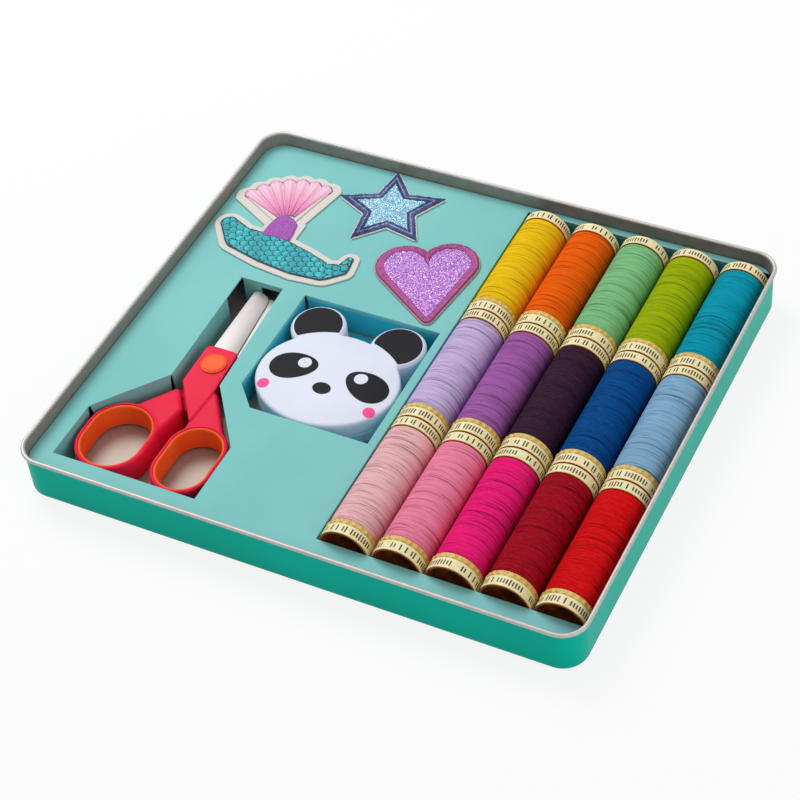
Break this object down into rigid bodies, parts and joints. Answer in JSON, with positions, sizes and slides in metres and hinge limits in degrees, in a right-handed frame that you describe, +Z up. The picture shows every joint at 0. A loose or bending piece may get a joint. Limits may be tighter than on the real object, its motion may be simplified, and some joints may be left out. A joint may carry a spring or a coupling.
{
  "type": "sewing tin",
  "caption": "Shallow rectangular tin with a folded card insert that holds spools of thread, small scissors, a panda tape measure and sewn patches.",
  "frame": {"origin": "centre of the tin's underside", "axes": "+Z up, +X to the right along the tin's width, front towards -Y"},
  "size_m": [0.212, 0.19, 0.0197],
  "materials": {
    "tin_paint": "gloss enamel, bare tinplate inside and on the rim",
    "card": "matt printed card",
    "spool_end": "label bands over moulded gold ends",
    "blade_steel": "satin ground steel",
    "handle_plastic": "smooth moulded plastic",
    "grip_rubber": "soft-touch liner",
    "cap_plastic": "smooth cap",
    "rivet_steel": "turned steel",
    "case_white": "glossy white case",
    "marking_black": "glossy black print",
    "cheek_pink": "pink print",
    "drum_plastic": "moulded drum",
    "tape_cloth": "coated glass-fibre tape",
    "spring_steel": "blued strip spring",
    "button_plastic": "moulded button",
    "felt": "felt backing",
    "star_satin": "satin stitch",
    "star_glitter": "glitter cloth",
    "heart_satin": "satin stitch",
    "heart_glitter": "glitter cloth",
    "shell_satin": "satin stitch",
    "shell_cloth": "printed satin",
    "thread_pale_pink": "wound sewing thread",
    "thread_rose": "wound sewing thread",
    "thread_magenta": "wound sewing thread",
    "thread_crimson": "wound sewing thread",
    "thread_red": "wound sewing thread",
    "thread_lilac": "wound sewing thread",
    "thread_violet": "wound sewing thread",
    "thread_plum": "wound sewing thread",
    "thread_blue": "wound sewing thread",
    "thread_pale_blue": "wound sewing thread",
    "thread_yellow": "wound sewing thread",
    "thread_orange": "wound sewing thread",
    "thread_mint": "wound sewing thread",
    "thread_lime": "wound sewing thread",
    "thread_petrol": "wound sewing thread"
  },
  "bodies": {
    "tin": {"tin_body": "tin_paint"},
    "insert": {"insert_card": "card"},
    "reel_01": {"spool_01": "spool_end", "thread_01": "thread_pale_pink"},
    "reel_02": {"spool_02": "spool_end", "thread_02": "thread_rose"},
    "reel_03": {"spool_03": "spool_end", "thread_03": "thread_magenta"},
    "reel_04": {"spool_04": "spool_end", "thread_04": "thread_crimson"},
    "reel_05": {"spool_05": "spool_end", "thread_05": "thread_red"},
    "reel_06": {"spool_06": "spool_end", "thread_06": "thread_lilac"},
    "reel_07": {"spool_07": "spool_end", "thread_07": "thread_violet"},
    "reel_08": {"spool_08": "spool_end", "thread_08": "thread_plum"},
    "reel_09": {"spool_09": "spool_end", "thread_09": "thread_blue"},
    "reel_10": {"spool_10": "spool_end", "thread_10": "thread_pale_blue"},
    "reel_11": {"spool_11": "spool_end", "thread_11": "thread_yellow"},
    "reel_12": {"spool_12": "spool_end", "thread_12": "thread_orange"},
    "reel_13": {"spool_13": "spool_end", "thread_13": "thread_mint"},
    "reel_14": {"spool_14": "spool_end", "thread_14": "thread_lime"},
    "reel_15": {"spool_15": "spool_end", "thread_15": "thread_petrol"},
    "scissors_lower": {"blade_lower": "blade_steel", "handle_lower": "handle_plastic", "grip_lower": "grip_rubber", "pivot_screw": "rivet_steel", "pivot_cap": "cap_plastic"},
    "scissors_upper": {"blade_upper": "blade_steel", "handle_upper": "handle_plastic", "grip_upper": "grip_rubber"},
    "tape_case": {"case_front": "case_white", "case_back": "case_white", "face_markings": "marking_black", "cheeks": "cheek_pink"},
    "tape_reel": {"tape_drum": "drum_plastic", "tape_roll": "tape_cloth", "return_spring": "spring_steel"},
    "tape_end": {"tape_strip": "tape_cloth"},
    "tape_release": {"release_button": "button_plastic"},
    "star_patch": {"star_backing": "felt", "star_border": "star_satin", "star_field": "star_glitter"},
    "heart_patch": {"heart_backing": "felt", "heart_border": "heart_satin", "heart_field": "heart_glitter"},
    "shell_patch": {"shell_backing": "felt", "shell_border": "shell_satin", "shell_field": "shell_cloth"}
  },
  "joints": [
    {"name": "insert_lift", "type": "slide", "parent": "tin", "child": "insert", "axis": [0, 0, 1], "range_m": [0, 0.075]},
    {"name": "spool_01_lift", "type": "slide", "parent": "tin", "child": "reel_01", "axis": [0, 0, 1], "range_m": [0, 0.03]},
    {"name": "spool_02_lift", "type": "slide", "parent": "tin", "child": "reel_02", "axis": [0, 0, 1], "range_m": [0, 0.03]},
    {"name": "spool_03_lift", "type": "slide", "parent": "tin", "child": "reel_03", "axis": [0, 0, 1], "range_m": [0, 0.03]},
    {"name": "spool_04_lift", "type": "slide", "parent": "tin", "child": "reel_04", "axis": [0, 0, 1], "range_m": [0, 0.03]},
    {"name": "spool_05_lift", "type": "slide", "parent": "tin", "child": "reel_05", "axis": [0, 0, 1], "range_m": [0, 0.03]},
    {"name": "spool_06_lift", "type": "slide", "parent": "tin", "child": "reel_06", "axis": [0, 0, 1], "range_m": [0, 0.03]},
    {"name": "spool_07_lift", "type": "slide", "parent": "tin", "child": "reel_07", "axis": [0, 0, 1], "range_m": [0, 0.03]},
    {"name": "spool_08_lift", "type": "slide", "parent": "tin", "child": "reel_08", "axis": [0, 0, 1], "range_m": [0, 0.03]},
    {"name": "spool_09_lift", "type": "slide", "parent": "tin", "child": "reel_09", "axis": [0, 0, 1], "range_m": [0, 0.03]},
    {"name": "spool_10_lift", "type": "slide", "parent": "tin", "child": "reel_10", "axis": [0, 0, 1], "range_m": [0, 0.03]},
    {"name": "spool_11_lift", "type": "slide", "parent": "tin", "child": "reel_11", "axis": [0, 0, 1], "range_m": [0, 0.03]},
    {"name": "spool_12_lift", "type": "slide", "parent": "tin", "child": "reel_12", "axis": [0, 0, 1], "range_m": [0, 0.03]},
    {"name": "spool_13_lift", "type": "slide", "parent": "tin", "child": "reel_13", "axis": [0, 0, 1], "range_m": [0, 0.03]},
    {"name": "spool_14_lift", "type": "slide", "parent": "tin", "child": "reel_14", "axis": [0, 0, 1], "range_m": [0, 0.03]},
    {"name": "spool_15_lift", "type": "slide", "parent": "tin", "child": "reel_15", "axis": [0, 0, 1], "range_m": [0, 0.03]},
    {"name": "scissors_lift", "type": "slide", "parent": "tin", "child": "scissors_lower", "axis": [0, 0, 1], "range_m": [0, 0.04]},
    {"name": "scissors_hinge", "type": "hinge", "parent": "scissors_lower", "child": "scissors_upper", "pos_m": [-0.0658, -0.0238, 0.0068], "axis": [0, 0, 1], "range_deg": [0, 7]},
    {"name": "tape_lift", "type": "slide", "parent": "tin", "child": "tape_case", "axis": [0, 0, 1], "range_m": [0, 0.035]},
    {"name": "reel_spin", "type": "hinge", "parent": "tape_case", "child": "tape_reel", "pos_m": [-0.03537, -0.0184, 0.006], "axis": [0, 0, 1], "range_deg": [0, 39.5]},
    {"name": "tape_pull", "type": "slide", "parent": "tape_case", "child": "tape_end", "axis": [0, 1, 0], "range_m": [0, 0.008]},
    {"name": "release_press", "type": "slide", "parent": "tape_case", "child": "tape_release", "axis": [0, 0, 1], "range_m": [0, 0.0015], "stiffness_N_per_m": 200},
    {"name": "star_lift", "type": "slide", "parent": "insert", "child": "star_patch", "axis": [0, 0, 1], "range_m": [0, 0.012]},
    {"name": "heart_lift", "type": "slide", "parent": "insert", "child": "heart_patch", "axis": [0, 0, 1], "range_m": [0, 0.012]},
    {"name": "shell_lift", "type": "slide", "parent": "insert", "child": "shell_patch", "axis": [0, 0, 1], "range_m": [0, 0.012]}
  ],
  "couplings": [
    {"joint": "tape_pull", "follows": "reel_spin", "m_per_rad": 0.0115}
  ]
}
